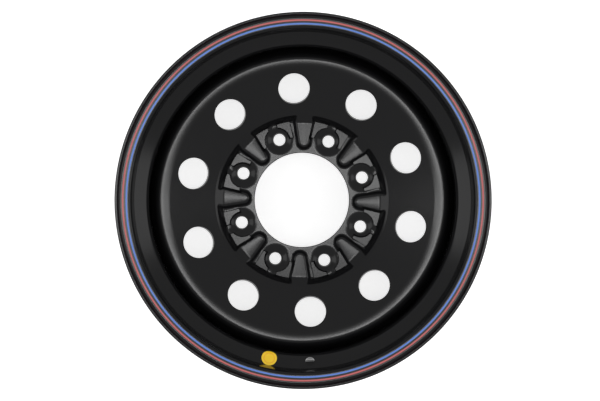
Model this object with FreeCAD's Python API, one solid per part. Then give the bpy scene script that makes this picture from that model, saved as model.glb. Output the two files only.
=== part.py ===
"""Steel disc wheel: a rolled drop-centre rim with a pressed disc welded into its well.

The wheel's axis is +Z and the outboard face looks up. The origin is on the axis, in the plane
of the mounting face at the back of the disc. Ribs lie at multiples of the bolt spacing from +X.
"""
import FreeCAD
import Part
import math
import os

# Rim contour
bead_seat_diameter = 436.6
rim_width = 203.2
flange_height = 17.3
flange_reach = 13.0
rim_sheet = 3.5
curl_radius = 8.0
heel_radius = 2.0
seat_width = 20.0
seat_taper = 5.0
hump_height = 1.2
hump_width = 5.0
hump_radius = 5.0
well_depth = 19.8
well_wall_angle = 25.0
well_bend_radius = 5.0
well_floor_width = 74.0
well_ramp_angle = 28.0
barrel_drop = 6.5
barrel_bend_radius = 16.0
lip_round = 1.2
wheel_offset = 20.0

# Disc, in section
disc_sheet = 7.0
bore_diameter = 121.4
bore_edge_round = 1.0
hub_wall_radius = 101.5
hub_wall_angle = 52.0
hub_wall_bend = 4.0
hub_wall_width = 8.0
bowl_angle = 15.0
bowl_bend = 8.5
shoulder_wall_angle = 65.0
shoulder_round = 10.6
skirt_bend = 15.0
skirt_width = 25.0
skirt_top_depth = 46.0
skirt_edge_round = 1.5
skirt_clearance = 0.1

# Stud holes and the raised cones round them
bolt_circle = 165.1
bolt_count = 8
bolt_hole_diameter = 15.1
boss_foot_diameter = 32.6
boss_crest_diameter = 18.8
boss_height = 3.5
boss_crest_round = 0.8
boss_thinning = 0.9
seat_cone_angle = 60.0

# Ribs between the stud holes
rib_height = 5.0
rib_inner_radius = 68.9
rib_end_angle = 50.0
rib_side_angle = 40.0
rib_face_width = 12.8
rib_face_taper = 11.3
rib_bend_gap = 7.0
rib_ramp_length = 8.0
rib_ramp_angle = 25.0
rib_ramp_bend = 12.0
rib_runout = 14.0
rib_runout_sink = 0.5

# Flats coined between the ribs and the cones, by a die turned a little past them
coin_depth = 1.6
coin_inner_radius = 81.6
coin_outer_gap = 0.2
coin_clocking = 1.7
coin_draft = 30.0
coin_rib_width = 25.0
coin_rib_taper = 13.1
coin_boss_diameter = 33.4
coin_spout_width = 12.5

# Vents in the bowl
vent_count = 10
vent_diameter = 40.0
vent_circle = 285.4
vent_clocking = 24.2

# Valve hole, on the wall of the well, and how far a punch runs past a sheet
valve_hole_diameter = 11.5
valve_angle = -85.4
punch_overrun = 6.0

# Trim
stripe_width = 2.5
stripe_thickness = 0.15
red_stripe_inset = 9.85
blue_stripe_inset = 14.3
sticker_diameter = 18.0
sticker_thickness = 0.2
sticker_angle = -100.0

# Weld beads
weld_count = 8
weld_length = 70.0
weld_leg = 5.0

# Sizes that follow from those above
axis = FreeCAD.Vector(0, 0, 1)
origin = FreeCAD.Vector(0, 0, 0)
bead_seat_radius = bead_seat_diameter / 2
flange_radius = bead_seat_radius + flange_height
rim_middle = -wheel_offset
outboard_face = rim_middle + rim_width / 2
inboard_face = rim_middle - rim_width / 2
well_radius = bead_seat_radius - well_depth
well_inner_radius = well_radius - rim_sheet
barrel_radius = bead_seat_radius - barrel_drop
skirt_radius = well_inner_radius - skirt_clearance
bolt_radius = bolt_circle / 2
bowl_inner_radius = hub_wall_radius + hub_wall_width
rib_bend_radius = hub_wall_radius - rib_bend_gap
coin_outer_radius = hub_wall_radius + coin_outer_gap
bolt_step = 360.0 / bolt_count
rib_face_level = disc_sheet + rib_height
boss_level = disc_sheet + boss_height
coin_level = disc_sheet - coin_depth


def tangent(degrees):
    return math.tan(math.radians(degrees))


def polar(radius, angle, height=0.0):
    turn = math.radians(angle)
    return FreeCAD.Vector(radius * math.cos(turn), radius * math.sin(turn), height)


def turned(shape, angle):
    copy = shape.copy()
    copy.rotate(origin, axis, angle)
    return copy


def pattern(shape, count, start=0.0):
    """Copies of a shape, evenly spaced round the wheel's axis."""
    return [turned(shape, start + 360.0 * index / count) for index in range(count)]


def offset_path(path, distance):
    """The path moved sideways to its right, with each bend's radius grown or shrunk to suit."""
    normals = []
    for (r0, z0, _), (r1, z1, _) in zip(path, path[1:]):
        length = math.hypot(r1 - r0, z1 - z0)
        normals.append(((z1 - z0) / length, (r0 - r1) / length))
    moved = []
    for index, (r, z, bend) in enumerate(path):
        before = normals[max(index - 1, 0)]
        after = normals[min(index, len(normals) - 1)]
        cross = before[0] * after[1] - before[1] * after[0]
        share = distance / (1 + before[0] * after[0] + before[1] * after[1])
        new_r = r + share * (before[0] + after[0])
        new_z = z + share * (before[1] + after[1])
        new_bend = bend + math.copysign(1, cross) * distance if bend else 0.0
        moved.append((new_r, new_z, new_bend))
    return moved


def rounded_face(corners):
    """A flat face in the XZ plane from (r, z, bend radius) corners."""
    points = [FreeCAD.Vector(r, 0, z) for r, z, _ in corners]
    count = len(points)
    starts, ends, edges = [], [], []
    for index, point in enumerate(points):
        bend = corners[index][2]
        back = (points[index - 1] - point).normalize()
        ahead = (points[(index + 1) % count] - point).normalize()
        if not bend:
            starts.append(point)
            ends.append(point)
            continue
        half = back.getAngle(ahead) / 2
        reach = bend / math.tan(half)
        middle = (back + ahead).normalize() * (bend / math.sin(half) - bend)
        starts.append(point + back * reach)
        ends.append(point + ahead * reach)
        edges.append(Part.Arc(starts[-1], point + middle, ends[-1]).toShape())
    for index in range(count):
        start, end = ends[index], starts[(index + 1) % count]
        if start.distanceToPoint(end) > 1e-6:
            edges.append(Part.LineSegment(start, end).toShape())
    return Part.Face(Part.Wire(Part.__sortEdges__(edges)))


def revolved(face, angle=360.0):
    return face.revolve(origin, axis, angle)


def sheet_corners(path, thickness, first_round, last_round):
    """The closed section of a bent sheet: one side, its end, the other side and its start."""
    near = list(path)
    far = offset_path(path, thickness)
    near[0] = near[0][:2] + (first_round,)
    far[0] = far[0][:2] + (first_round,)
    near[-1] = near[-1][:2] + (last_round,)
    far[-1] = far[-1][:2] + (last_round,)
    return near + far[::-1]


def rim_path():
    """The tyre side of the rim, from the outboard lip to the inboard one."""
    seat_end = bead_seat_radius - seat_width * tangent(seat_taper)
    hump_top = seat_end + hump_height
    wall_start = outboard_face - seat_width - hump_width
    wall_reach = (hump_top - well_radius) * tangent(well_wall_angle)
    floor_start = wall_start - wall_reach
    floor_end = floor_start - well_floor_width
    ramp_end = floor_end - (barrel_radius - well_radius) / tangent(well_ramp_angle)
    inboard_seat_end = inboard_face + seat_width
    inboard_hump = inboard_seat_end + hump_width
    return [
        (flange_radius, outboard_face + flange_reach, 0),
        (flange_radius, outboard_face, curl_radius),
        (bead_seat_radius, outboard_face, heel_radius),
        (seat_end, outboard_face - seat_width, hump_radius),
        (hump_top, wall_start, hump_radius),
        (well_radius, floor_start, well_bend_radius),
        (well_radius, floor_end, barrel_bend_radius),
        (barrel_radius, ramp_end, barrel_bend_radius),
        (barrel_radius, inboard_hump + hump_width, hump_radius),
        (hump_top, inboard_hump, hump_radius),
        (seat_end, inboard_seat_end, hump_radius),
        (bead_seat_radius, inboard_face, heel_radius),
        (flange_radius, inboard_face, curl_radius),
        (flange_radius, inboard_face - flange_reach, 0),
    ]


def well_wall():
    """The air side of the well's outboard wall: its two corners, as (r, z)."""
    air_side = offset_path(rim_path(), rim_sheet)
    return air_side[4][:2], air_side[5][:2]


def on_well_wall(angle):
    """A point in the middle of the well's outboard wall, and the way that it faces."""
    (r0, z0), (r1, z1) = well_wall()
    point = polar((r0 + r1) / 2, angle, (z0 + z1) / 2)
    length = math.hypot(r1 - r0, z1 - z0)
    facing = polar((z1 - z0) / length, angle, (r0 - r1) / length)
    return point, facing


def punch(diameter, thickness, point, facing):
    """A round punch that runs past both faces of a sheet, whose front has the point on it."""
    length = thickness + 2 * punch_overrun
    return Part.makeCylinder(diameter / 2, length, point - facing * (thickness + punch_overrun), facing)


def make_rim():
    section = sheet_corners(rim_path(), rim_sheet, lip_round, lip_round)
    point, facing = on_well_wall(valve_angle)
    return revolved(rounded_face(section)).cut(punch(valve_hole_diameter, rim_sheet, point, facing))


def rim_rings(rim):
    """The rim in simple rings, so that the tyre's channel stays open between them."""
    levels = [corner[1] for corner in rim_path()]
    bands = {
        "rim_outboard_flange": (levels[0], levels[1]),
        "rim_outboard_seat": (levels[1], levels[3]),
        "rim_well_wall": (levels[3], levels[5]),
        "rim_well": (levels[5], levels[6]),
        "rim_ramp": (levels[6], levels[7]),
        "rim_barrel": (levels[7], levels[12]),
        "rim_inboard_flange": (levels[12], levels[13]),
    }
    rings = {}
    for name, (top, foot) in bands.items():
        slab = Part.makeCylinder(2 * flange_radius, top - foot, FreeCAD.Vector(0, 0, foot))
        rings[name] = rim.common(slab)
    return rings


def bowl_level(radius):
    """Height of the bowl's front face, as if it ran on straight to that radius."""
    hub_wall_rise = (bowl_inner_radius - hub_wall_radius) * tangent(hub_wall_angle)
    return disc_sheet + hub_wall_rise + (radius - bowl_inner_radius) * tangent(bowl_angle)


def disc_path():
    """The front of the disc, from the bore to the edge of the skirt."""
    skirt_top = outboard_face - seat_width - hump_width - skirt_top_depth
    fall = tangent(shoulder_wall_angle)
    slope = tangent(bowl_angle)
    shoulder = (skirt_top + skirt_radius * fall - bowl_level(0)) / (fall + slope)
    return [
        (bore_diameter / 2, disc_sheet, 0),
        (hub_wall_radius, disc_sheet, hub_wall_bend),
        (bowl_inner_radius, bowl_level(bowl_inner_radius), bowl_bend),
        (shoulder, bowl_level(shoulder), shoulder_round),
        (skirt_radius, skirt_top, skirt_bend),
        (skirt_radius, skirt_top - skirt_width, 0),
    ]


def make_plate():
    corners = sheet_corners(disc_path(), disc_sheet, 0, skirt_edge_round)
    corners[0] = corners[0][:2] + (bore_edge_round,)
    return revolved(rounded_face(corners))


def rib_sides(level, half_width, taper, slope, low, high, reach):
    """Two prisms that cut both flanks of a bar along +X, leaving it half_width wide at level."""
    run = 1 / tangent(slope)
    section = [
        FreeCAD.Vector(0, run * (level - low), low),
        FreeCAD.Vector(0, reach, low),
        FreeCAD.Vector(0, reach, high),
        FreeCAD.Vector(0, run * (level - high), high),
    ]
    flank = Part.Face(Part.makePolygon(section + section[:1])).extrude(FreeCAD.Vector(2 * reach, 0, 0))
    flank.rotate(origin, axis, taper)
    flank.translate(FreeCAD.Vector(bolt_radius, half_width, 0))
    flank.translate(FreeCAD.Vector(math.cos(math.radians(taper)), math.sin(math.radians(taper)), 0) * -reach)
    return [flank, flank.mirror(origin, FreeCAD.Vector(0, 1, 0))]


def bar(corners, width):
    """A side profile along +X, extruded to a width across it."""
    face = rounded_face(corners)
    face.translate(FreeCAD.Vector(0, -width / 2, 0))
    return face.extrude(FreeCAD.Vector(0, width, 0))


def make_rib():
    """The raised front of one rib, which ramps up into the bowl at its outer end."""
    low = disc_sheet / 2
    end_run = 1 / tangent(rib_end_angle)
    ramp_end = rib_bend_radius + rib_ramp_length
    ramp_level = rib_face_level + rib_ramp_length * tangent(rib_ramp_angle)
    outer = rib_bend_radius + rib_runout + rib_runout_sink
    profile = [
        (rib_inner_radius - (disc_sheet - low) * end_run, low, 0),
        (rib_inner_radius + rib_height * end_run, rib_face_level, 0),
        (rib_bend_radius, rib_face_level, rib_ramp_bend),
        (ramp_end, ramp_level, rib_ramp_bend),
        (outer, bowl_level(outer) - rib_runout_sink, 0),
        (outer, low, 0),
    ]
    reach = bolt_circle
    body = bar(profile, reach)
    top = bowl_level(outer) + rib_height
    for flank in rib_sides(rib_face_level, rib_face_width / 2, rib_face_taper, rib_side_angle, 0, top, reach):
        body = body.cut(flank)
    return body


def make_rib_hollow():
    """The groove that the rib's pressing leaves in the back of the disc."""
    end_run = 1 / tangent(rib_end_angle)
    inner = rib_inner_radius + disc_sheet * tangent(rib_end_angle / 2)
    below = -rib_height
    outer = bowl_inner_radius + disc_sheet
    profile = [
        (inner + below * end_run, below, 0),
        (inner + rib_height * end_run, rib_height, 0),
        (outer, rib_height, 0),
        (outer, below, 0),
    ]
    reach = bolt_circle
    body = bar(profile, reach)
    half_width = rib_face_width / 2 - disc_sheet * tangent(rib_side_angle / 2)
    flanks = rib_sides(rib_height, half_width, rib_face_taper, rib_side_angle, 2 * below, disc_sheet, reach)
    for flank in flanks:
        body = body.cut(flank)
    return body


def boss_flank():
    """How far a cone's flank runs out for each millimetre that it falls."""
    return (boss_foot_diameter - boss_crest_diameter) / 2 / boss_height


def make_boss():
    """A raised cone on the wheel's axis, to be moved to a stud hole."""
    foot = boss_foot_diameter / 2 + (disc_sheet - coin_level) * boss_flank()
    corners = [
        (0, coin_level, 0),
        (foot, coin_level, 0),
        (boss_crest_diameter / 2, boss_level, boss_crest_round),
        (0, boss_level, 0),
    ]
    return revolved(rounded_face(corners))


def make_boss_cut():
    """The stud hole, its tapered seat in front and the hollow of the cone behind."""
    hole = bolt_hole_diameter / 2
    crest_inner = boss_crest_diameter / 2 - boss_crest_round / 2
    seat_run = 1 / tangent(seat_cone_angle / 2)
    seat_foot = boss_level - (crest_inner - hole) * seat_run
    hollow_top = boss_height - boss_thinning
    hollow_crest = hole + boss_crest_round
    below = -punch_overrun
    above = boss_level + punch_overrun
    corners = [
        (0, below, 0),
        (hollow_crest + (hollow_top - below) * boss_flank(), below, 0),
        (hollow_crest, hollow_top, 0),
        (hole, hollow_top, 0),
        (hole, seat_foot, 0),
        (crest_inner + punch_overrun / seat_run, above, 0),
        (0, above, 0),
    ]
    return revolved(rounded_face(corners))


def die_window(start, high, half_width, taper):
    """A bar along +X that the die leaves standing, with drafted sides."""
    reach = bolt_circle
    window = bar([(start, coin_level, 0), (start, high, 0), (reach, high, 0), (reach, coin_level, 0)], reach)
    for flank in rib_sides(coin_level, half_width, taper, 90.0 - coin_draft, 0, 2 * high, reach):
        window = window.cut(flank)
    return window


def make_coin():
    """All that the coining die clears above its flats: a ring with windows for cones and ribs."""
    high = bowl_level(bowl_inner_radius)
    height = high - coin_level
    lean = tangent(coin_draft) * height
    ring = revolved(rounded_face([
        (coin_inner_radius, coin_level, 0),
        (coin_outer_radius, coin_level, 0),
        (coin_outer_radius + lean, high, 0),
        (coin_inner_radius - lean, high, 0),
    ]))
    boss = coin_boss_diameter / 2
    cone = Part.makeCone(boss, boss - lean, height, polar(bolt_radius, 0, coin_level))
    rib = die_window(0, high, coin_rib_width / 2, coin_rib_taper)
    spout = die_window(bolt_radius, high, coin_spout_width / 2, 0)
    windows = pattern(rib, bolt_count, coin_clocking)
    windows += pattern(cone, bolt_count, bolt_step / 2 + coin_clocking)
    windows += pattern(spout, bolt_count, bolt_step / 2 + coin_clocking)
    return ring.cut(windows)


def make_vent():
    """A punch that meets the bowl squarely, on the +X side."""
    radius = vent_circle / 2
    lean = math.radians(bowl_angle)
    facing = FreeCAD.Vector(-math.sin(lean), 0, math.cos(lean))
    return punch(vent_diameter, disc_sheet, FreeCAD.Vector(radius, 0, bowl_level(radius)), facing)


def make_disc():
    boss = make_boss()
    boss.translate(polar(bolt_radius, 0))
    boss_cut = make_boss_cut()
    boss_cut.translate(polar(bolt_radius, 0))
    raised = pattern(make_rib(), bolt_count) + pattern(boss, bolt_count, bolt_step / 2)
    hollows = pattern(make_rib_hollow(), bolt_count) + pattern(boss_cut, bolt_count, bolt_step / 2)
    disc = make_plate().fuse(raised)
    disc = disc.cut(make_coin())
    disc = disc.cut(hollows)
    return disc.cut(pattern(make_vent(), vent_count, vent_clocking))


def make_stripe(inset):
    """A flat ring on the outboard face of the flange, by its distance in from the flange's edge."""
    face = outboard_face + rim_sheet
    inner = flange_radius - inset - stripe_width / 2
    outer = inner + stripe_width
    top = face + stripe_thickness
    return revolved(rounded_face([(inner, face, 0), (outer, face, 0), (outer, top, 0), (inner, top, 0)]))


def make_sticker():
    """A round sticker that follows the bent wall of the well."""
    air_side = offset_path(rim_path(), rim_sheet)
    film = sheet_corners(air_side[3:7], sticker_thickness, 0, 0)
    band = revolved(rounded_face(film))
    point, facing = on_well_wall(sticker_angle)
    return band.common(punch(sticker_diameter, sticker_thickness, point, facing))


def make_welds():
    """Beads in the corner between the skirt's inboard edge and the well."""
    edge = disc_path()[-1][1]
    bead = rounded_face([
        (well_inner_radius, edge, 0),
        (well_inner_radius, edge - weld_leg, 0),
        (well_inner_radius - weld_leg, edge, 0),
    ])
    sweep = math.degrees(weld_length / well_inner_radius)
    return Part.makeCompound(pattern(revolved(bead, sweep), weld_count, bolt_step / 2 - sweep / 2))


def main():
    parts = rim_rings(make_rim())
    parts["disc"] = make_disc()
    parts["disc_welds"] = make_welds()
    parts["red_pinstripe"] = make_stripe(red_stripe_inset)
    parts["blue_pinstripe"] = make_stripe(blue_stripe_inset)
    parts["yellow_sticker"] = make_sticker()
    os.makedirs("parts", exist_ok=True)
    for name, shape in parts.items():
        shape.exportStep(os.path.join("parts", name + ".step"))
        print(name, len(shape.Solids), "solid", round(shape.Volume / 1000, 2), "cm3", shape.isValid())


main()
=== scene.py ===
import math
import bpy
from mathutils import Matrix, Vector


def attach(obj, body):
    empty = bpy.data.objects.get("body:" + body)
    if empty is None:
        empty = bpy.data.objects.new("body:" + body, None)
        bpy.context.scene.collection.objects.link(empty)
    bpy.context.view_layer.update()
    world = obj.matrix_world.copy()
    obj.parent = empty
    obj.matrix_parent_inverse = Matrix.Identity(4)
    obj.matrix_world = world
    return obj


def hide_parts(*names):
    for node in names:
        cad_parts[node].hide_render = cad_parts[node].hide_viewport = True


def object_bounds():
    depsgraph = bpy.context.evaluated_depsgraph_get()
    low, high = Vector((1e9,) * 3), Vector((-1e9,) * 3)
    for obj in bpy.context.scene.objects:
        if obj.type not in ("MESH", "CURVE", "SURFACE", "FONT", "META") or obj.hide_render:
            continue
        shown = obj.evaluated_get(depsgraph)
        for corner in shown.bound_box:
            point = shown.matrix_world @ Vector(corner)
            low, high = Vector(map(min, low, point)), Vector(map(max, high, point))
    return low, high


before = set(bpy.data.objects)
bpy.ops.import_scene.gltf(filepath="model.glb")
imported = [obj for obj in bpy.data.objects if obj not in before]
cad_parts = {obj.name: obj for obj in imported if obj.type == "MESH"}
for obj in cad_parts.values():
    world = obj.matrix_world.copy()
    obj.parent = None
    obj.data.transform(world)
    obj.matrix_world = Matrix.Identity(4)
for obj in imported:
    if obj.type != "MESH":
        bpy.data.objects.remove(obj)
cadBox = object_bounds()
mm = 0.001
fullTurn = 2 * math.pi
print("frame loaded:", sorted(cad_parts))


# small helpers for working with one object at a time

def deselectAll():
    if bpy.context.mode != "OBJECT":
        bpy.ops.object.mode_set(mode="OBJECT")
    bpy.ops.object.select_all(action="DESELECT")


def makeActive(piece):
    deselectAll()
    piece.select_set(True)
    bpy.context.view_layer.objects.active = piece


def tangentOf(degrees):
    return math.tan(math.radians(degrees))


def applyModifiers(piece):
    makeActive(piece)
    for name in [modifier.name for modifier in piece.modifiers]:
        bpy.ops.object.modifier_apply(modifier=name)


def cutAway(piece, cutter):  # cutter is used up
    cut = piece.modifiers.new("cut", "BOOLEAN")
    cut.operation = "DIFFERENCE"
    cut.solver = "EXACT"
    cut.object = cutter
    applyModifiers(piece)
    bpy.data.objects.remove(cutter)


def joinPieces(pieces, name):
    deselectAll()
    for piece in pieces:
        piece.select_set(True)
    bpy.context.view_layer.objects.active = pieces[0]
    bpy.ops.object.join()
    pieces[0].name = name
    return pieces[0]


def copyRound(piece, count, start=0.0):  # start in degrees; each copy has its own mesh
    copies = []
    for index in range(count):
        copy = piece.copy()
        copy.data = piece.data.copy()
        copy.data.transform(Matrix.Rotation(math.radians(start) + fullTurn * index / count, 4, "Z"))
        bpy.context.scene.collection.objects.link(copy)
        copies.append(copy)
    bpy.data.objects.remove(piece)
    return copies


def traceOutline(name, points):  # a chain of edges in the XZ plane, from (r, z) in millimetres
    deselectAll()
    bpy.ops.mesh.primitive_plane_add(size=1, location=(0, 0, 0))
    piece = bpy.context.active_object
    piece.name = name
    bpy.ops.object.mode_set(mode="EDIT")
    bpy.ops.mesh.select_all(action="SELECT")
    bpy.ops.mesh.merge(type="CENTER")
    r, z = points[0]
    bpy.ops.transform.translate(value=(r * mm, 0, z * mm))
    for nextR, nextZ in points[1:]:
        step = ((nextR - r) * mm, 0, (nextZ - z) * mm)
        bpy.ops.mesh.extrude_region_move(TRANSFORM_OT_translate={"value": step})
        r, z = nextR, nextZ
    return piece


def spinOutline(name, points, steps, angle=fullTurn):  # points close on themselves
    piece = traceOutline(name, points + points[:1])
    bpy.ops.mesh.select_all(action="SELECT")
    bpy.ops.mesh.spin(steps=steps, angle=angle, center=(0, 0, 0), axis=(0, 0, 1))
    bpy.ops.mesh.select_all(action="SELECT")
    bpy.ops.mesh.remove_doubles(threshold=0.000005)
    if angle < fullTurn:
        bpy.ops.mesh.select_all(action="DESELECT")
        bpy.ops.mesh.select_non_manifold(extend=False, use_boundary=True)
        bpy.ops.mesh.edge_face_add()
        bpy.ops.mesh.select_all(action="SELECT")
    bpy.ops.mesh.normals_make_consistent(inside=False)
    bpy.ops.object.mode_set(mode="OBJECT")
    return piece


def addCylinder(radius, depth, sides):  # in millimetres, about the origin
    deselectAll()
    bpy.ops.mesh.primitive_cylinder_add(vertices=sides, radius=radius * mm, depth=depth * mm)
    return bpy.context.active_object


def smoothByAngle(piece, degrees):
    makeActive(piece)
    bpy.ops.object.shade_smooth_by_angle(angle=math.radians(degrees))


def finishPiece(piece, nodes, material):
    piece.data.materials.clear()
    piece.data.materials.append(material)
    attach(piece, "root")
    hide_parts(*nodes)


# sections of bent sheet, as in a press shop drawing

def offsetCorners(corners, distance):  # to the right of the way along; bends grow or shrink
    normals = []
    for (r0, z0, _), (r1, z1, _) in zip(corners, corners[1:]):
        length = math.hypot(r1 - r0, z1 - z0)
        normals.append(((z1 - z0) / length, (r0 - r1) / length))
    moved = []
    for index, (r, z, bend) in enumerate(corners):
        before = normals[max(index - 1, 0)]
        after = normals[min(index, len(normals) - 1)]
        cross = before[0] * after[1] - before[1] * after[0]
        share = distance / (1 + before[0] * after[0] + before[1] * after[1])
        newBend = bend + math.copysign(distance, cross) if bend else 0
        moved.append((r + share * (before[0] + after[0]), z + share * (before[1] + after[1]), newBend))
    return moved


def roundCorners(corners, closed, finest=0.12):  # finest: radians of arc between points
    points = []
    count = len(corners)
    for index, (r, z, bend) in enumerate(corners):
        atEnd = not closed and index in (0, count - 1)
        if not bend or atEnd:
            points.append((r, z))
            continue
        here = Vector((r, z))
        back = (Vector(corners[index - 1][:2]) - here).normalized()
        ahead = (Vector(corners[(index + 1) % count][:2]) - here).normalized()
        half = back.angle(ahead) / 2
        middle = here + (back + ahead).normalized() * (bend / math.sin(half))
        first = here + back * (bend / math.tan(half)) - middle
        turn = first.angle_signed(here + ahead * (bend / math.tan(half)) - middle)
        steps = max(2, math.ceil(abs(turn) / finest))
        for step in range(steps + 1):
            spoke = first.copy()
            spoke.rotate(Matrix.Rotation(-turn * step / steps, 2))
            points.append(tuple(middle + spoke))
    return points


def sheetSection(corners, thickness, firstRound, lastRound):
    near = list(corners)
    far = offsetCorners(corners, thickness)
    for side in (near, far):
        side[0] = side[0][:2] + (firstRound,)
        side[-1] = side[-1][:2] + (lastRound,)
    return roundCorners(near + far[::-1], closed=True)


def splitLong(points, longest):  # extra points on long straight runs
    divided = []
    for (r0, z0), (r1, z1) in zip(points, points[1:]):
        parts = max(1, math.ceil(math.hypot(r1 - r0, z1 - z0) / longest))
        for part in range(parts):
            share = part / parts
            divided.append((r0 + (r1 - r0) * share, z0 + (z1 - z0) * share))
    return divided + points[-1:]


# rim: rolled hoop with a drop centre, in millimetres
rim = {
    "beadSeatRadius": 218.3,
    "width": 203.2,
    "middle": -20.0,
    "flangeHeight": 17.3,
    "flangeReach": 13.0,
    "sheet": 3.5,
    "curlRadius": 8.0,
    "heelRadius": 2.0,
    "seatWidth": 20.0,
    "seatTaper": 5.0,
    "humpHeight": 1.2,
    "humpWidth": 5.0,
    "humpRadius": 5.0,
    "wellDepth": 19.8,
    "wallAngle": 25.0,
    "wellBend": 5.0,
    "floorWidth": 74.0,
    "rampAngle": 28.0,
    "barrelDrop": 6.5,
    "barrelBend": 16.0,
    "lipRound": 1.2,
    "valveHole": 11.5,
    "valveAngle": -85.4,
    "valveSides": 48,
    "smooth": 35,
    "steps": 288,
}


def rimCorners():  # tyre side, outboard lip to inboard lip
    seat = rim["beadSeatRadius"]
    flange = seat + rim["flangeHeight"]
    well = seat - rim["wellDepth"]
    barrel = seat - rim["barrelDrop"]
    front = rim["middle"] + rim["width"] / 2
    back = rim["middle"] - rim["width"] / 2
    seatEnd = seat - rim["seatWidth"] * tangentOf(rim["seatTaper"])
    hump = seatEnd + rim["humpHeight"]
    wallStart = front - rim["seatWidth"] - rim["humpWidth"]
    floorStart = wallStart - (hump - well) * tangentOf(rim["wallAngle"])
    floorEnd = floorStart - rim["floorWidth"]
    rampEnd = floorEnd - (barrel - well) / tangentOf(rim["rampAngle"])
    backSeat = back + rim["seatWidth"]
    backHump = backSeat + rim["humpWidth"]
    return [
        (flange, front + rim["flangeReach"], 0),
        (flange, front, rim["curlRadius"]),
        (seat, front, rim["heelRadius"]),
        (seatEnd, front - rim["seatWidth"], rim["humpRadius"]),
        (hump, wallStart, rim["humpRadius"]),
        (well, floorStart, rim["wellBend"]),
        (well, floorEnd, rim["barrelBend"]),
        (barrel, rampEnd, rim["barrelBend"]),
        (barrel, backHump + rim["humpWidth"], rim["humpRadius"]),
        (hump, backHump, rim["humpRadius"]),
        (seatEnd, backSeat, rim["humpRadius"]),
        (seat, back, rim["heelRadius"]),
        (flange, back, rim["curlRadius"]),
        (flange, back - rim["flangeReach"], 0),
    ]


airSide = offsetCorners(rimCorners(), rim["sheet"])
wallTop = Vector(airSide[4][:2])
wallFoot = Vector(airSide[5][:2])
wallMiddle = (wallTop + wallFoot) / 2


def makeRim():
    outline = sheetSection(rimCorners(), rim["sheet"], rim["lipRound"], rim["lipRound"])
    piece = spinOutline("rim_shell", outline, rim["steps"])
    drill = addCylinder(rim["valveHole"] / 2, 6 * rim["sheet"], rim["valveSides"])
    place = Matrix.Rotation(math.radians(rim["valveAngle"]), 4, "Z")
    place = place @ Matrix.Translation((wallMiddle.x * mm, 0, wallMiddle.y * mm))
    drill.data.transform(place @ Matrix.Rotation(math.radians(-rim["wallAngle"]), 4, "Y"))
    cutAway(piece, drill)
    smoothByAngle(piece, rim["smooth"])
    return piece


# disc: pressed plate, in millimetres; the mounting face is at height 0
disc = {
    "sheet": 7.0,
    "boreRadius": 60.7,
    "boreRound": 1.0,
    "hubWallRadius": 101.5,
    "hubWallAngle": 52.0,
    "hubWallBend": 4.0,
    "bowlInner": 109.5,
    "bowlAngle": 15.0,
    "bowlBend": 8.5,
    "shoulderWallAngle": 65.0,
    "crestStart": 172.0,
    "crestAngle": 5.2,
    "crestBend": 38.0,
    "shoulderRound": 9.0,
    "skirtBend": 15.0,
    "skirtWidth": 28.0,
    "skirtTop": 13.6,
    "skirtRadius": 194.9,
    "pressedOut": 118.0,  # forms of the hub end inside this radius
    "gridStep": 0.95,
    "backStep": 2.6,
    "plainStep": 4.0,  # between points outside the pressed hub
    "plainBackStep": 6.0,
    "faceMargin": 0.8,  # from the back, within which a point isn't the front's
    "flatMargin": 3.0,
    "smooth": 32,
    "steps": 512,
}
bolts = {
    "count": 8,
    "circle": 82.55,
    "holeRadius": 7.55,
    "footRadius": 16.3,
    "crestRadius": 9.4,
    "height": 3.5,
    "seatAngle": 60.0,
    "hollow": 2.6,
    "soft": 2.2,
    "crestSoft": 0.8,
    "rimWidth": 0.4,
    "sides": 48,
}
ribs = {
    "height": 5.0,
    "noseAt": 75.0,
    "noseRadius": 6.8,
    "spread": 0.185,
    "sideAngle": 58.0,
    "bendRadius": 100.5,
    "rampAngle": 29.0,
    "fadeFrom": 107.0,
    "fade": 0.35,
    "crown": 0.35,
    "edgeSoft": 3.6,
    "footSoft": 1.6,
    "rampSoft": 1.2,
    "grooveSoft": 0.5,
    "underBowl": 0.3,
    "hollowInset": 3.2,
}
coins = {
    "depth": 1.6,
    "inner": 81.6,
    "outer": 101.7,
    "clocking": 1.7,
    "draft": 30.0,
    "ribWidth": 25.0,
    "ribTaper": 13.1,
    "coneRadius": 16.7,
    "spoutWidth": 12.5,
    "spoutRise": 1.4,
    "spoutSoft": 1.2,
    "spoutFootSoft": 1.5,
    "windowStart": 62.0,
    "windowEnd": 125.0,
    "leastHalf": 0.2,
    "coneSides": 64,
    "steps": 256,
}
vents = {
    "count": 10,
    "radius": 20.0,
    "circle": 142.7,
    "clocking": 24.2,
    "sides": 72,
}
boltStep = 360 / bolts["count"]


def bowlLevel(radius):
    rise = (disc["bowlInner"] - disc["hubWallRadius"]) * tangentOf(disc["hubWallAngle"])
    return disc["sheet"] + rise + (radius - disc["bowlInner"]) * tangentOf(disc["bowlAngle"])


def discCorners():  # front, bore to the edge of the skirt
    fall = tangentOf(disc["shoulderWallAngle"])
    slope = tangentOf(disc["crestAngle"])
    crest = bowlLevel(disc["crestStart"])
    crestFoot = crest - disc["crestStart"] * slope
    shoulder = (disc["skirtTop"] + disc["skirtRadius"] * fall - crestFoot) / (fall + slope)
    return [
        (disc["boreRadius"], disc["sheet"] / 2, 0),
        (disc["boreRadius"], disc["sheet"], disc["boreRound"]),
        (disc["hubWallRadius"], disc["sheet"], disc["hubWallBend"]),
        (disc["bowlInner"], bowlLevel(disc["bowlInner"]), disc["bowlBend"]),
        (disc["crestStart"], crest, disc["crestBend"]),
        (shoulder, crestFoot + shoulder * slope, disc["shoulderRound"]),
        (disc["skirtRadius"], disc["skirtTop"], disc["skirtBend"]),
        (disc["skirtRadius"], disc["skirtTop"] - disc["skirtWidth"], 0),
    ]


def softMax(a, b, width):
    near = max(width - abs(a - b), 0) / width
    return max(a, b) + near * near * width / 4


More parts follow.
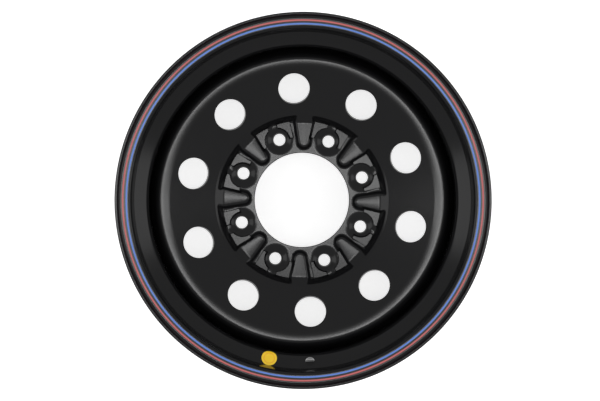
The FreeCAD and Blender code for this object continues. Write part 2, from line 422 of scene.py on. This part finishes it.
def softMin(a, b, width):
    return -softMax(-a, -b, width)


def nearestTurn(angle, start):  # angle from the nearest of the bolt-spaced directions, in degrees
    return (angle - start + boltStep / 2) % boltStep - boltStep / 2


def outsideRib(along, across):  # distance out of a rib's rounded, widening plan; negative inside it
    reach = disc["pressedOut"] - ribs["noseAt"]
    rise = math.sqrt(1 - ribs["spread"] ** 2)
    aside, ahead = abs(across), along - ribs["noseAt"]
    if ahead * rise + aside * ribs["spread"] < 0:
        return math.hypot(aside, ahead) - ribs["noseRadius"]
    return aside * rise - min(ahead, reach) * ribs["spread"] - ribs["noseRadius"]


def ribLevel(along, across, height, inset):  # top of a rib that stands height above the face
    outside = outsideRib(along, across) + inset
    ramp = height + (along - ribs["bendRadius"]) * tangentOf(ribs["rampAngle"])
    faded = max(0, along - ribs["fadeFrom"]) * ribs["fade"]
    bowl = bowlLevel(along) - disc["sheet"] - ribs["underBowl"] - faded
    top = softMax(height, softMin(ramp, bowl, ribs["rampSoft"]), ribs["rampSoft"])
    width = ribs["noseRadius"] + max(along - ribs["noseAt"], 0) * ribs["spread"]
    top -= ribs["crown"] * min(1, (across / width) ** 2)
    return softMin(top, height - outside * tangentOf(ribs["sideAngle"]), ribs["edgeSoft"])


def coneLevel(distance, height, crest):
    fall = bolts["height"] / (bolts["footRadius"] - bolts["crestRadius"])
    return softMin(height, height + (crest - distance) * fall, bolts["crestSoft"])


def pressForms(r, angle, level, front):  # height after the ribs and cones are pressed up
    turn = math.radians(nearestTurn(angle, 0))
    along, across = r * math.cos(turn), r * math.sin(turn)
    boltTurn = math.radians(nearestTurn(angle, boltStep / 2))
    outward, aside = r * math.cos(boltTurn), r * math.sin(boltTurn)
    distance = math.hypot(outward - bolts["circle"], aside)
    if not front:
        hollow = ribLevel(along, across, ribs["height"], ribs["hollowInset"])
        groove = softMin(hollow, ribs["height"], ribs["grooveSoft"])
        level = softMax(level, groove, ribs["footSoft"])
        return softMax(level, coneLevel(distance, bolts["hollow"], bolts["holeRadius"]), bolts["soft"])
    top = disc["sheet"]
    level = softMax(level, top + ribLevel(along, across, ribs["height"], 0), ribs["footSoft"])
    level = softMax(level, top + coneLevel(distance, bolts["height"], bolts["crestRadius"]), bolts["soft"])
    if outward > bolts["circle"]:
        spoutSide = (coins["spoutWidth"] / 2 - abs(aside)) * tangentOf(coins["draft"])
        spout = softMin(spoutSide, coins["spoutRise"], coins["spoutSoft"])
        level = softMax(level, top + spout, coins["spoutFootSoft"])
    return level


def makePlate():
    front = splitLong(roundCorners(discCorners(), closed=False, finest=0.1), disc["gridStep"])
    back = roundCorners(offsetCorners(discCorners()[1:], disc["sheet"]), closed=False, finest=0.16)
    back = splitLong(back, disc["backStep"])
    front = thinOut(front, disc["plainStep"])
    back = thinOut(back, disc["plainBackStep"])
    piece = spinOutline("disc_plate", front + back[::-1], disc["steps"])
    midSheet = disc["sheet"] / 2
    for vertex in piece.data.vertices:
        r = math.hypot(vertex.co.x, vertex.co.y) / mm
        if r > disc["pressedOut"] or r < disc["boreRadius"] + 0.01:
            continue
        level = vertex.co.z / mm
        flatBack = max(0, bowlLevel(r) - disc["sheet"] / math.cos(math.radians(disc["bowlAngle"])))
        isFront = level > max(midSheet, flatBack + disc["faceMargin"])
        if r < disc["hubWallRadius"] + disc["flatMargin"]:
            isFront = level > midSheet
        angle = math.degrees(math.atan2(vertex.co.y, vertex.co.x))
        vertex.co.z = pressForms(r, angle, level, isFront) * mm
    return piece


def thinOut(points, spacing):  # fewer points on the plain bowl and skirt, outside the pressed hub
    kept = points[:1]
    for index in range(1, len(points) - 1):
        r, z = points[index]
        fromLast = math.hypot(r - kept[-1][0], z - kept[-1][1])
        r0, z0 = points[index - 1]
        r1, z1 = points[index + 1]
        straight = abs((r - r0) * (z1 - z) - (z - z0) * (r1 - r)) < 1e-4
        if r < disc["pressedOut"] or not straight or fromLast > spacing:
            kept.append(points[index])
    return kept + points[-1:]


def makeStudCutter():
    crest = disc["sheet"] + bolts["height"]
    flare = 1 / tangentOf(bolts["seatAngle"] / 2)
    mouth = bolts["crestRadius"] - bolts["rimWidth"]
    foot = crest - (mouth - bolts["holeRadius"]) * flare
    high = crest + disc["sheet"]
    outline = [
        (0, -disc["sheet"]),
        (bolts["holeRadius"], -disc["sheet"]),
        (bolts["holeRadius"], foot),
        (mouth + (high - crest) / flare, high),
        (0, high),
    ]
    cutter = spinOutline("stud_cutter", outline, bolts["sides"])
    cutter.data.transform(Matrix.Translation((bolts["circle"] * mm, 0, 0)))
    return joinPieces(copyRound(cutter, bolts["count"], boltStep / 2), "stud_cutters")


def makeVentCutter():
    cutter = addCylinder(vents["radius"], 4 * disc["sheet"], vents["sides"])
    place = Matrix.Translation((vents["circle"] * mm, 0, bowlLevel(vents["circle"]) * mm))
    cutter.data.transform(place @ Matrix.Rotation(math.radians(-disc["bowlAngle"]), 4, "Y"))
    return joinPieces(copyRound(cutter, vents["count"], vents["clocking"]), "vent_cutters")


def addBar(name, half, taper, low, high, start):  # a bar along +X whose sides lean in towards the top
    end = coins["windowEnd"]
    lean = (high - low) * tangentOf(coins["draft"])
    spread = tangentOf(taper)
    deselectAll()
    bpy.ops.mesh.primitive_cube_add(size=2)
    piece = bpy.context.active_object
    piece.name = name
    for vertex in piece.data.vertices:
        x = end if vertex.co.x > 0 else start
        reach = half + (x - bolts["circle"]) * spread
        if vertex.co.z > 0:
            reach -= lean
        z = high if vertex.co.z > 0 else low
        vertex.co = Vector((x, math.copysign(max(reach, coins["leastHalf"]), vertex.co.y), z)) * mm
    return piece


def makeCoinCutter():
    low = disc["sheet"] - coins["depth"]
    high = bowlLevel(disc["bowlInner"])
    lean = (high - low) * tangentOf(coins["draft"])
    ring = spinOutline("coin_cutter", [
        (coins["inner"], low),
        (coins["outer"], low),
        (coins["outer"] + lean, high),
        (coins["inner"] - lean, high),
    ], coins["steps"])
    below = low - 1
    above = high + 1
    drop = tangentOf(coins["draft"])
    ribHalf = coins["ribWidth"] / 2 + drop
    rib = addBar("rib_window", ribHalf, coins["ribTaper"], below, above, coins["windowStart"])
    cutAway(ring, joinPieces(copyRound(rib, bolts["count"], coins["clocking"]), "rib_windows"))
    spoutHalf = coins["spoutWidth"] / 2 + drop
    spout = addBar("spout_window", spoutHalf, 0, below, above, bolts["circle"])
    spouts = copyRound(spout, bolts["count"], boltStep / 2 + coins["clocking"])
    cutAway(ring, joinPieces(spouts, "spout_windows"))
    wide = coins["coneRadius"] + drop
    narrow = coins["coneRadius"] - lean - drop
    outline = [(0, below), (wide, below), (narrow, above), (0, above)]
    cone = spinOutline("cone_window", outline, coins["coneSides"])
    cone.data.transform(Matrix.Translation((bolts["circle"] * mm, 0, 0)))
    cones = copyRound(cone, bolts["count"], boltStep / 2 + coins["clocking"])
    cutAway(ring, joinPieces(cones, "cone_windows"))
    return ring


def makeDisc():
    piece = makePlate()
    print("disc pressed:", len(piece.data.vertices), "points")
    cutAway(piece, makeCoinCutter())
    print("disc coined")
    cutAway(piece, makeStudCutter())
    cutAway(piece, makeVentCutter())
    print("disc pierced:", len(piece.data.polygons), "faces")
    smoothByAngle(piece, disc["smooth"])
    return piece


# trim
stripes = {
    "width": 2.1,
    "thickness": 0.15,
    "redRadius": 225.75,
    "blueRadius": 221.3,
    "edgeShare": 0.6,
    "smooth": 30,
    "steps": 288,
}
sticker = {
    "radius": 9.8,
    "thickness": 0.2,
    "angle": -100.0,
    "around": 64,
    "cuts": 6,
    "smooth": 40,
    "ringFrom": 0.62,  # of the radius
    "ringTo": 0.72,
}
welds = {
    "count": 8,
    "length": 70.0,
    "leg": 5.0,
    "steps": 64,
    "ripple": 0.5,
    "ripplePitch": 4.0,
    "bulge": 0.62,  # of the leg
    "crown": [(0.55, 1.1), (0.9, 0.8), (1.2, 0.4)],  # in and down, in bulges
    "rootWidth": 0.2,  # along the joined faces, left without ripples
    "smooth": 40,
}


def makeStripe(name, radius):
    face = rim["middle"] + rim["width"] / 2 + rim["sheet"]
    half = stripes["width"] / 2
    top = face + stripes["thickness"]
    edge = stripes["thickness"] * stripes["edgeShare"]
    outline = [
        (radius - half, face),
        (radius + half, face),
        (radius + half, face + edge),
        (radius + half - edge, top),
        (radius - half + edge, top),
        (radius - half, face + edge),
    ]
    piece = spinOutline(name, outline, stripes["steps"])
    smoothByAngle(piece, stripes["smooth"])
    return piece


def wallPoint(along, across, lift):  # a point of the well's wall, by distances along and across it
    points = roundCorners(airSide[3:7], closed=False, finest=0.08)
    spots = [Vector(point) for point in points]
    for index in range(len(spots) - 1):
        if abs((spots[index] - wallTop).angle(wallFoot - wallTop, 0)) < 0.01:
            break
    travelled = (spots[index] - wallMiddle).length
    here = travelled + across
    while index > 0 and here < 0:
        index -= 1
        here += (spots[index + 1] - spots[index]).length
    while index < len(spots) - 2 and here > (spots[index + 1] - spots[index]).length:
        here -= (spots[index + 1] - spots[index]).length
        index += 1
    way = (spots[index + 1] - spots[index]).normalized()
    flat = spots[index] + way * here + Vector((way.y, -way.x)) * lift
    turn = math.radians(sticker["angle"]) + along / flat.x
    return Vector((flat.x * math.cos(turn), flat.x * math.sin(turn), flat.y)) * mm


def makeSticker():
    deselectAll()
    around, radius = sticker["around"], sticker["radius"]
    bpy.ops.mesh.primitive_circle_add(vertices=around, radius=radius, fill_type="TRIFAN")
    piece = bpy.context.active_object
    piece.name = "sticker_film"
    bpy.ops.object.mode_set(mode="EDIT")
    bpy.ops.mesh.select_all(action="SELECT")
    bpy.ops.mesh.subdivide(number_cuts=sticker["cuts"])
    bpy.ops.mesh.extrude_region_move(TRANSFORM_OT_translate={"value": (0, 0, sticker["thickness"])})
    bpy.ops.mesh.select_all(action="SELECT")
    bpy.ops.mesh.normals_make_consistent(inside=False)
    bpy.ops.object.mode_set(mode="OBJECT")
    for vertex in piece.data.vertices:
        vertex.co = wallPoint(vertex.co.x, vertex.co.y, vertex.co.z)
    makeActive(piece)
    bpy.ops.object.mode_set(mode="EDIT")
    bpy.ops.mesh.select_all(action="SELECT")
    bpy.ops.mesh.normals_make_consistent(inside=False)
    bpy.ops.object.mode_set(mode="OBJECT")
    smoothByAngle(piece, sticker["smooth"])
    return piece


def makeWelds():
    edge = disc["skirtTop"] - disc["skirtWidth"]
    wall = wallFoot.x
    leg = welds["leg"]
    bulge = leg * welds["bulge"]
    outline = [(wall, edge), (wall, edge - leg)]
    for inward, down in welds["crown"]:
        outline.append((wall - bulge * inward, edge - bulge * down))
    outline.append((wall - leg, edge))
    sweep = welds["length"] / wall
    bead = spinOutline("weld_bead", outline, welds["steps"], sweep)
    for vertex in bead.data.vertices:
        r = math.hypot(vertex.co.x, vertex.co.y)
        atWall = r > (wall - welds["rootWidth"]) * mm
        if atWall or vertex.co.z > (edge - welds["rootWidth"]) * mm:
            continue
        turn = math.atan2(vertex.co.y, vertex.co.x)
        wave = math.cos(fullTurn * turn * wall / welds["ripplePitch"]) * welds["ripple"] * mm / 2
        vertex.co.x += vertex.co.x / r * wave
        vertex.co.y += vertex.co.y / r * wave
    beads = copyRound(bead, welds["count"], boltStep / 2 - math.degrees(sweep) / 2)
    piece = joinPieces(beads, "weld_beads")
    smoothByAngle(piece, welds["smooth"])
    return piece


# finishes; each peel gives the scale of its waves, the range of roughness and the strength of the bump
peels = {
    "paint": {"scale": 420.0, "low": 0.13, "high": 0.21, "strength": 0.05},
    "stripe": {"scale": 300.0, "low": 0.3, "high": 0.42, "strength": 0.04},
    "film": {"scale": 200.0, "low": 0.28, "high": 0.4, "strength": 0.05},
}


def newFinish(name):
    material = bpy.data.materials.new(name)
    material.use_nodes = True
    tree = material.node_tree
    return material, tree, tree.nodes["Principled BSDF"]


def addNode(tree, kind, **values):
    node = tree.nodes.new(kind)
    for name, value in values.items():
        if name in node.inputs:
            node.inputs[name].default_value = value
        else:
            setattr(node, name, value)
    return node


def makeOrangePeel():  # shared effect: fine waves of sprayed paint, and a little patchiness
    group = bpy.data.node_groups.new("orangePeel", "ShaderNodeTree")
    group.interface.new_socket("Scale", in_out="INPUT", socket_type="NodeSocketFloat")
    group.interface.new_socket("Low Roughness", in_out="INPUT", socket_type="NodeSocketFloat")
    group.interface.new_socket("High Roughness", in_out="INPUT", socket_type="NodeSocketFloat")
    group.interface.new_socket("Height", in_out="OUTPUT", socket_type="NodeSocketFloat")
    group.interface.new_socket("Roughness", in_out="OUTPUT", socket_type="NodeSocketFloat")
    entry = addNode(group, "NodeGroupInput")
    leave = addNode(group, "NodeGroupOutput")
    place = addNode(group, "ShaderNodeTexCoord")
    waves = addNode(group, "ShaderNodeTexNoise", Detail=2.0)
    patches = addNode(group, "ShaderNodeTexNoise", Scale=22.0, Detail=4.0)
    spread = addNode(group, "ShaderNodeMapRange")
    group.links.new(place.outputs["Object"], waves.inputs["Vector"])
    group.links.new(entry.outputs["Scale"], waves.inputs["Scale"])
    group.links.new(waves.outputs["Fac"], leave.inputs["Height"])
    group.links.new(place.outputs["Object"], patches.inputs["Vector"])
    group.links.new(patches.outputs["Fac"], spread.inputs["Value"])
    group.links.new(entry.outputs["Low Roughness"], spread.inputs["To Min"])
    group.links.new(entry.outputs["High Roughness"], spread.inputs["To Max"])
    group.links.new(spread.outputs["Result"], leave.inputs["Roughness"])
    return group


def addOrangePeel(tree, shader, values):
    peel = addNode(tree, "ShaderNodeGroup")
    peel.node_tree = orangePeel
    peel.inputs["Scale"].default_value = values["scale"]
    peel.inputs["Low Roughness"].default_value = values["low"]
    peel.inputs["High Roughness"].default_value = values["high"]
    bump = addNode(tree, "ShaderNodeBump", Strength=values["strength"], Distance=0.0002)
    tree.links.new(peel.outputs["Height"], bump.inputs["Height"])
    tree.links.new(bump.outputs["Normal"], shader.inputs["Normal"])
    tree.links.new(peel.outputs["Roughness"], shader.inputs["Roughness"])


def blackPaint():
    material, tree, shader = newFinish("satin_black_paint")
    shader.inputs["Base Color"].default_value = (0.006, 0.006, 0.0065, 1)
    shader.inputs["IOR"].default_value = 1.33
    addOrangePeel(tree, shader, peels["paint"])
    return material


def stripePaint(name, colour):
    material, tree, shader = newFinish(name)
    shader.inputs["Base Color"].default_value = colour
    addOrangePeel(tree, shader, peels["stripe"])
    return material


def stickerFilm():
    material, tree, shader = newFinish("yellow_film")
    shader.inputs["Coat Weight"].default_value = 0.3
    place = addNode(tree, "ShaderNodeTexCoord")
    shift = addNode(tree, "ShaderNodeMapping")
    centre = wallPoint(0, 0, 0)
    shift.inputs["Location"].default_value = (-centre.x, -centre.y, -centre.z)
    length = addNode(tree, "ShaderNodeVectorMath", operation="LENGTH")
    ring = addNode(tree, "ShaderNodeValToRGB")
    scaled = addNode(tree, "ShaderNodeMath", operation="DIVIDE")
    scaled.inputs[1].default_value = sticker["radius"] * mm
    colours = ring.color_ramp
    colours.interpolation = "CONSTANT"
    yellow = (0.98, 0.64, 0.012, 1)
    orange = (0.94, 0.45, 0.01, 1)
    colours.elements[0].color = yellow
    colours.elements[1].position = sticker["ringFrom"]
    colours.elements[1].color = orange
    colours.elements.new(sticker["ringTo"]).color = yellow
    tree.links.new(place.outputs["Object"], shift.inputs["Vector"])
    tree.links.new(shift.outputs["Vector"], length.inputs[0])
    tree.links.new(length.outputs["Value"], scaled.inputs[0])
    tree.links.new(scaled.outputs["Value"], ring.inputs["Fac"])
    tree.links.new(ring.outputs["Color"], shader.inputs["Base Color"])
    addOrangePeel(tree, shader, peels["film"])
    return material


orangePeel = makeOrangePeel()
paint = blackPaint()
redPaint = stripePaint("red_stripe_paint", (0.56, 0.1, 0.1, 1))
bluePaint = stripePaint("blue_stripe_paint", (0.075, 0.2, 0.64, 1))
film = stickerFilm()
print("finishes ready")

rimNodes = [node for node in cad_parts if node.startswith("rim_")]
finishPiece(makeRim(), rimNodes, paint)
print("rim ready")
finishPiece(makeDisc(), ["disc"], paint)
print("disc ready")
finishPiece(makeWelds(), ["disc_welds"], paint)
finishPiece(makeStripe("red_ring", stripes["redRadius"]), ["red_pinstripe"], redPaint)
finishPiece(makeStripe("blue_ring", stripes["blueRadius"]), ["blue_pinstripe"], bluePaint)
finishPiece(makeSticker(), ["yellow_sticker"], film)
print("trim ready")


# stage, light and camera; sideways places are given as the picture shows them
view = {
    "pictureWide": 600,
    "pictureHigh": 401,
    "wheelAt": (303.48, 200.60),  # pixel of the outboard lip's centre
    "metresPerPixel": 0.001247,  # in the plane of the lip
    "distance": 2.73,
    "standRight": -0.064,
    "standUp": 0.027,
    "roll": 2.0,
    "sensor": 36.0,
    "clipEnd": 50.0,
}
stage = {
    "floorSize": 14.0,
    "floorColour": (0.86, 0.86, 0.86, 1),
    "floorRoughness": 0.9,
    "backgroundGlow": 0.76,
    "ambient": 0.6,
}
lamps = {
    "front": {"right": 0.0, "up": 0.05, "height": 3.4, "wide": 0.85, "high": 1.0, "radiance": 1.25},
    "left": {"right": -0.44, "up": 0.0, "height": 2.9, "wide": 0.24, "high": 1.1, "radiance": 9.0},
    "right": {"right": 0.5, "up": 0.0, "height": 2.9, "wide": 0.24, "high": 1.1, "radiance": 9.0},
    "farLeft": {"right": -3.2, "up": 0.0, "height": 2.2, "wide": 1.8, "high": 2.6, "radiance": 1.5},
    "farRight": {"right": 3.2, "up": 0.0, "height": 2.2, "wide": 1.8, "high": 2.6, "radiance": 1.5},
}
lipHeight = cadBox[1][2]
pictureTurn = Matrix.Rotation(math.radians(view["roll"]), 3, "Z")


def picturePlace(right, up, height):
    return pictureTurn @ Vector((right, up, 0)) + Vector((0, 0, height))


def makeFloor():
    deselectAll()
    bpy.ops.mesh.primitive_plane_add(size=stage["floorSize"], location=(0, 0, cadBox[0][2]))
    floor = bpy.context.active_object
    floor.name = "floor"
    material, tree, shader = newFinish("pale_floor")
    shader.inputs["Base Color"].default_value = stage["floorColour"]
    shader.inputs["Roughness"].default_value = stage["floorRoughness"]
    path = addNode(tree, "ShaderNodeLightPath")
    either = addNode(tree, "ShaderNodeMath", operation="MAXIMUM")
    anySeen = addNode(tree, "ShaderNodeMath", operation="MAXIMUM")
    glow = addNode(tree, "ShaderNodeMath", operation="MULTIPLY")
    glow.inputs[1].default_value = stage["backgroundGlow"]
    tree.links.new(path.outputs["Is Camera Ray"], either.inputs[0])
    tree.links.new(path.outputs["Is Glossy Ray"], either.inputs[1])
    tree.links.new(either.outputs["Value"], anySeen.inputs[0])
    tree.links.new(path.outputs["Is Transmission Ray"], anySeen.inputs[1])
    tree.links.new(anySeen.outputs["Value"], glow.inputs[0])
    tree.links.new(glow.outputs["Value"], shader.inputs["Emission Strength"])
    shader.inputs["Emission Color"].default_value = (1, 1, 1, 1)
    floor.data.materials.append(material)


def makeLamps():
    for name, lamp in lamps.items():
        data = bpy.data.lights.new(name + "_softbox", "AREA")
        data.shape = "RECTANGLE"
        data.size = lamp["wide"]
        data.size_y = lamp["high"]
        data.energy = lamp["radiance"] * math.pi * lamp["wide"] * lamp["high"]
        softbox = bpy.data.objects.new(name + "_softbox", data)
        softbox.location = picturePlace(lamp["right"], lamp["up"], lamp["height"])
        softbox.rotation_euler = softbox.location.to_track_quat("Z", "Y").to_euler()
        bpy.context.scene.collection.objects.link(softbox)


def makeWorld():
    world = bpy.data.worlds.new("studio")
    world.use_nodes = True
    tree = world.node_tree
    background = tree.nodes["Background"]
    background.inputs["Color"].default_value = (1, 1, 1, 1)
    background.inputs["Strength"].default_value = stage["ambient"]
    bpy.context.scene.world = world


def makeCamera():
    data = bpy.data.cameras.new("camera")
    camera = bpy.data.objects.new("camera", data)
    scale = view["metresPerPixel"]
    data.sensor_width = view["sensor"]
    data.lens = view["sensor"] * view["distance"] / (scale * view["pictureWide"])
    data.clip_end = view["clipEnd"]
    camera.location = picturePlace(view["standRight"], view["standUp"], lipHeight + view["distance"])
    offRight = (view["pictureWide"] / 2 - view["wheelAt"][0]) * scale
    offUp = (view["wheelAt"][1] - view["pictureHigh"] / 2) * scale
    target = picturePlace(offRight, offUp, lipHeight)
    towards = (camera.location - target).normalized()
    across = (pictureTurn @ Vector((0, 1, 0))).cross(towards).normalized()
    turn = Matrix((across, towards.cross(across), towards)).transposed()
    camera.rotation_euler = turn.to_euler()
    bpy.context.scene.collection.objects.link(camera)
    bpy.context.scene.camera = camera


makeFloor()
makeLamps()
makeWorld()
makeCamera()
bpy.context.scene.view_settings.view_transform = "Standard"
print("stage ready")
